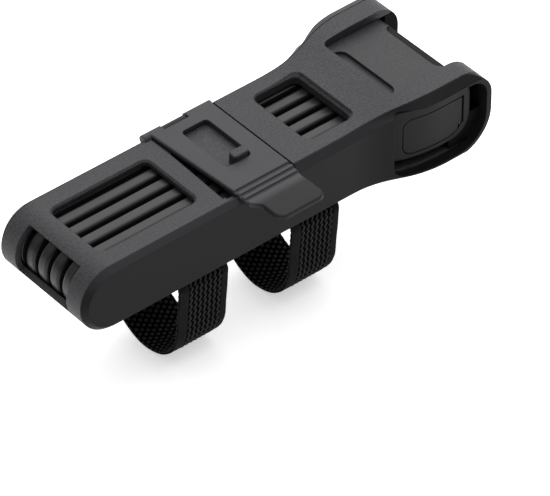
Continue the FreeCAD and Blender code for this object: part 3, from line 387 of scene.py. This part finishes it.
# the loop's places come from the frame: the tube it closes round is the part's mount
TUBE = frame["record"]["mounts"][0]
TUBE_RADIUS = TUBE["dims"]["r_mm"]
TUBE_CENTRE = (TUBE["pos_m"][2] - HOLSTER.z) / MM
STRAP_THICK = 2.0
strap_low, strap_high = (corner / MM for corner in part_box("strap_rear"))
STRAP_WIDTH = strap_high.x - strap_low.x
LEG_INSIDE = strap_high.y - STRAP_THICK
TOP_INSIDE = -2.8
CORNER_INSIDE = 2.5
PATH_STEP = 0.42
COLUMNS = 72
FACE_INSET = 0.25
OUTER_FACE = 1.35
OUTER_RISE = 0.58
INNER_FACE = 0.42
INNER_RISE = 0.34
# the woven edge, outside first: inset, how far its nibs pull it in, height, relief
EDGE_ROWS = ((0.05, 0.2, 1.15, 0.45), (0.5, 0.0, 0.95, 0.0), (0.05, 0.2, 0.75, 0.45))
# the weave: wavy cords outside, rows of knots inside
CORD_COUNT = 7
CORD_PITCH = 2.45
CORD_FIRST = 6.2
CORD_SPREAD = 0.62
CORD_SWAY = 0.42
CORD_MARGIN = 1.2
WAVE_LENGTH = 3.4
WAVE_LAG = 0.5
KNOT_ROW = 2.1
KNOT_PITCH = 3.0


def loop_path(step):
    """Points round a strap's inner face as (y, z, outward y, outward z), step apart."""
    corner_y, corner_z = LEG_INSIDE - CORNER_INSIDE, TOP_INSIDE - CORNER_INSIDE
    rise = corner_z - TUBE_CENTRE
    turn = math.atan2(LEG_INSIDE, -rise) - math.acos(TUBE_RADIUS / math.hypot(LEG_INSIDE, rise))
    path = []

    def arc(centre_y, centre_z, radius, start, end):
        count = max(2, round(abs(end - start) * (radius + STRAP_THICK) / step))
        for number in range(count):
            angle = start + (end - start) * number / count
            out_y, out_z = math.sin(angle), math.cos(angle)
            path.append((centre_y + radius * out_y, centre_z + radius * out_z, out_y, out_z))

    def run(start, end):
        length = math.hypot(end[0] - start[0], end[1] - start[1])
        out_y, out_z = -(end[1] - start[1]) / length, (end[0] - start[0]) / length
        count = max(2, round(length / step))
        for number in range(count):
            share = number / count
            path.append((start[0] + (end[0] - start[0]) * share,
                         start[1] + (end[1] - start[1]) * share, out_y, out_z))

    foot_y = TUBE_RADIUS * math.sin(turn)
    foot_z = TUBE_CENTRE - TUBE_RADIUS * math.cos(turn)
    run((-corner_y, TOP_INSIDE), (corner_y, TOP_INSIDE))
    arc(corner_y, corner_z, CORNER_INSIDE, 0.0, math.pi / 2)
    run((LEG_INSIDE, corner_z), (foot_y, foot_z))
    arc(0.0, TUBE_CENTRE, TUBE_RADIUS, math.pi - turn, math.pi + turn)
    run((-foot_y, foot_z), (-LEG_INSIDE, corner_z))
    arc(-corner_y, corner_z, CORNER_INSIDE, -math.pi / 2, 0.0)
    return path


def outer_relief(across, along):
    """0 in the holes between the wavy cords, 1 on their crests."""
    last_cord = CORD_FIRST + (CORD_COUNT - 1) * CORD_PITCH
    if across < CORD_FIRST - CORD_MARGIN or across > last_cord + CORD_MARGIN:
        twill = math.sin(4.1 * along + 5.3 * across) * math.sin(3.7 * along - 4.9 * across)
        return 0.45 + 0.40 * twill
    wave = 2 * math.pi * along / WAVE_LENGTH
    number = round((across - CORD_FIRST) / CORD_PITCH)
    phase = wave + WAVE_LAG * number
    middle = CORD_FIRST + CORD_PITCH * number + CORD_SWAY * math.sin(phase)
    off = (across - middle) / CORD_SPREAD
    cord = (0.82 + 0.18 * math.sin(phase + 0.8)) * math.exp(-off * off)
    link = 0.34 * max(0.0, math.cos(phase + 2.2)) ** 4
    return max(cord, link)


def inner_relief(across, along):
    """The loop side: rows of small knots, every second row set half a step on."""
    row = round(across / KNOT_ROW)
    knot = max(0.0, math.cos(math.pi * (across / KNOT_ROW - row))) ** 0.8
    beat = math.cos(2 * math.pi * (along / KNOT_PITCH + 0.5 * (row % 2)))
    return 0.10 + 0.90 * knot * max(0.0, 0.4 + 0.6 * beat) ** 0.8


def section(along):
    """One ring round the band as (across, height over the inner face, relief)."""
    nib = 0.5 - 0.5 * math.cos(4 * math.pi * along / WAVE_LENGTH)
    inside_width = STRAP_WIDTH - 2 * FACE_INSET
    ring = []
    for step in range(COLUMNS + 1):
        share = step / COLUMNS
        across = FACE_INSET + share * inside_width
        relief = outer_relief(across, along)
        taper = min(1.0, min(share, 1.0 - share) * COLUMNS / 2)
        ring.append((across, OUTER_FACE + OUTER_RISE * relief * (0.6 + 0.4 * taper), relief))
    for inset, pull, height, relief in EDGE_ROWS:
        ring.append((STRAP_WIDTH - inset - pull * nib, height, relief))
    for step in range(COLUMNS, -1, -1):
        across = FACE_INSET + step / COLUMNS * inside_width
        relief = inner_relief(across, along)
        ring.append((across, INNER_FACE - INNER_RISE * relief, relief))
    for inset, pull, height, relief in reversed(EDGE_ROWS):
        ring.append((inset + pull * nib, height, relief))
    return ring


def add_strap(name, replaced):
    """The woven band in place of a strap's plain CAD loop, and as far along x."""
    rear_x = (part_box(replaced)[0].x - HOLSTER.x) / MM
    verts, relief_values = [], []
    along = 0.0
    last_outer = None
    path = loop_path(PATH_STEP)
    for y, z, out_y, out_z in path:
        outer = (y + out_y * STRAP_THICK, z + out_z * STRAP_THICK)
        along += math.dist(outer, last_outer or outer)
        last_outer = outer
        for across, height, relief in section(along):
            verts.append(at(rear_x + across, y + out_y * height, z + out_z * height))
            relief_values.append(relief)
    rings = len(path)
    ring = len(verts) // rings
    faces = [
        (a * ring + b, a * ring + (b + 1) % ring, (a + 1) % rings * ring + (b + 1) % ring,
         (a + 1) % rings * ring + b)
        for a in range(rings) for b in range(ring)
    ]
    mesh = bpy.data.meshes.new(name)
    mesh.from_pydata(verts, [], faces)
    # the relief goes on the points too: the fabric material paints shade into the low parts from it
    mesh.attributes.new("relief", "FLOAT", "POINT").data.foreach_set("value", relief_values)
    mesh.shade_smooth()
    strap = bpy.data.objects.new(name, mesh)
    scene.collection.objects.link(strap)
    strap.data.materials.append(FINISHES["strap_fabric"])
    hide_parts(replaced)
    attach(strap, "holster")


for end in ("rear", "front"):
    add_strap(f"strap_{end}_woven", f"strap_{end}")
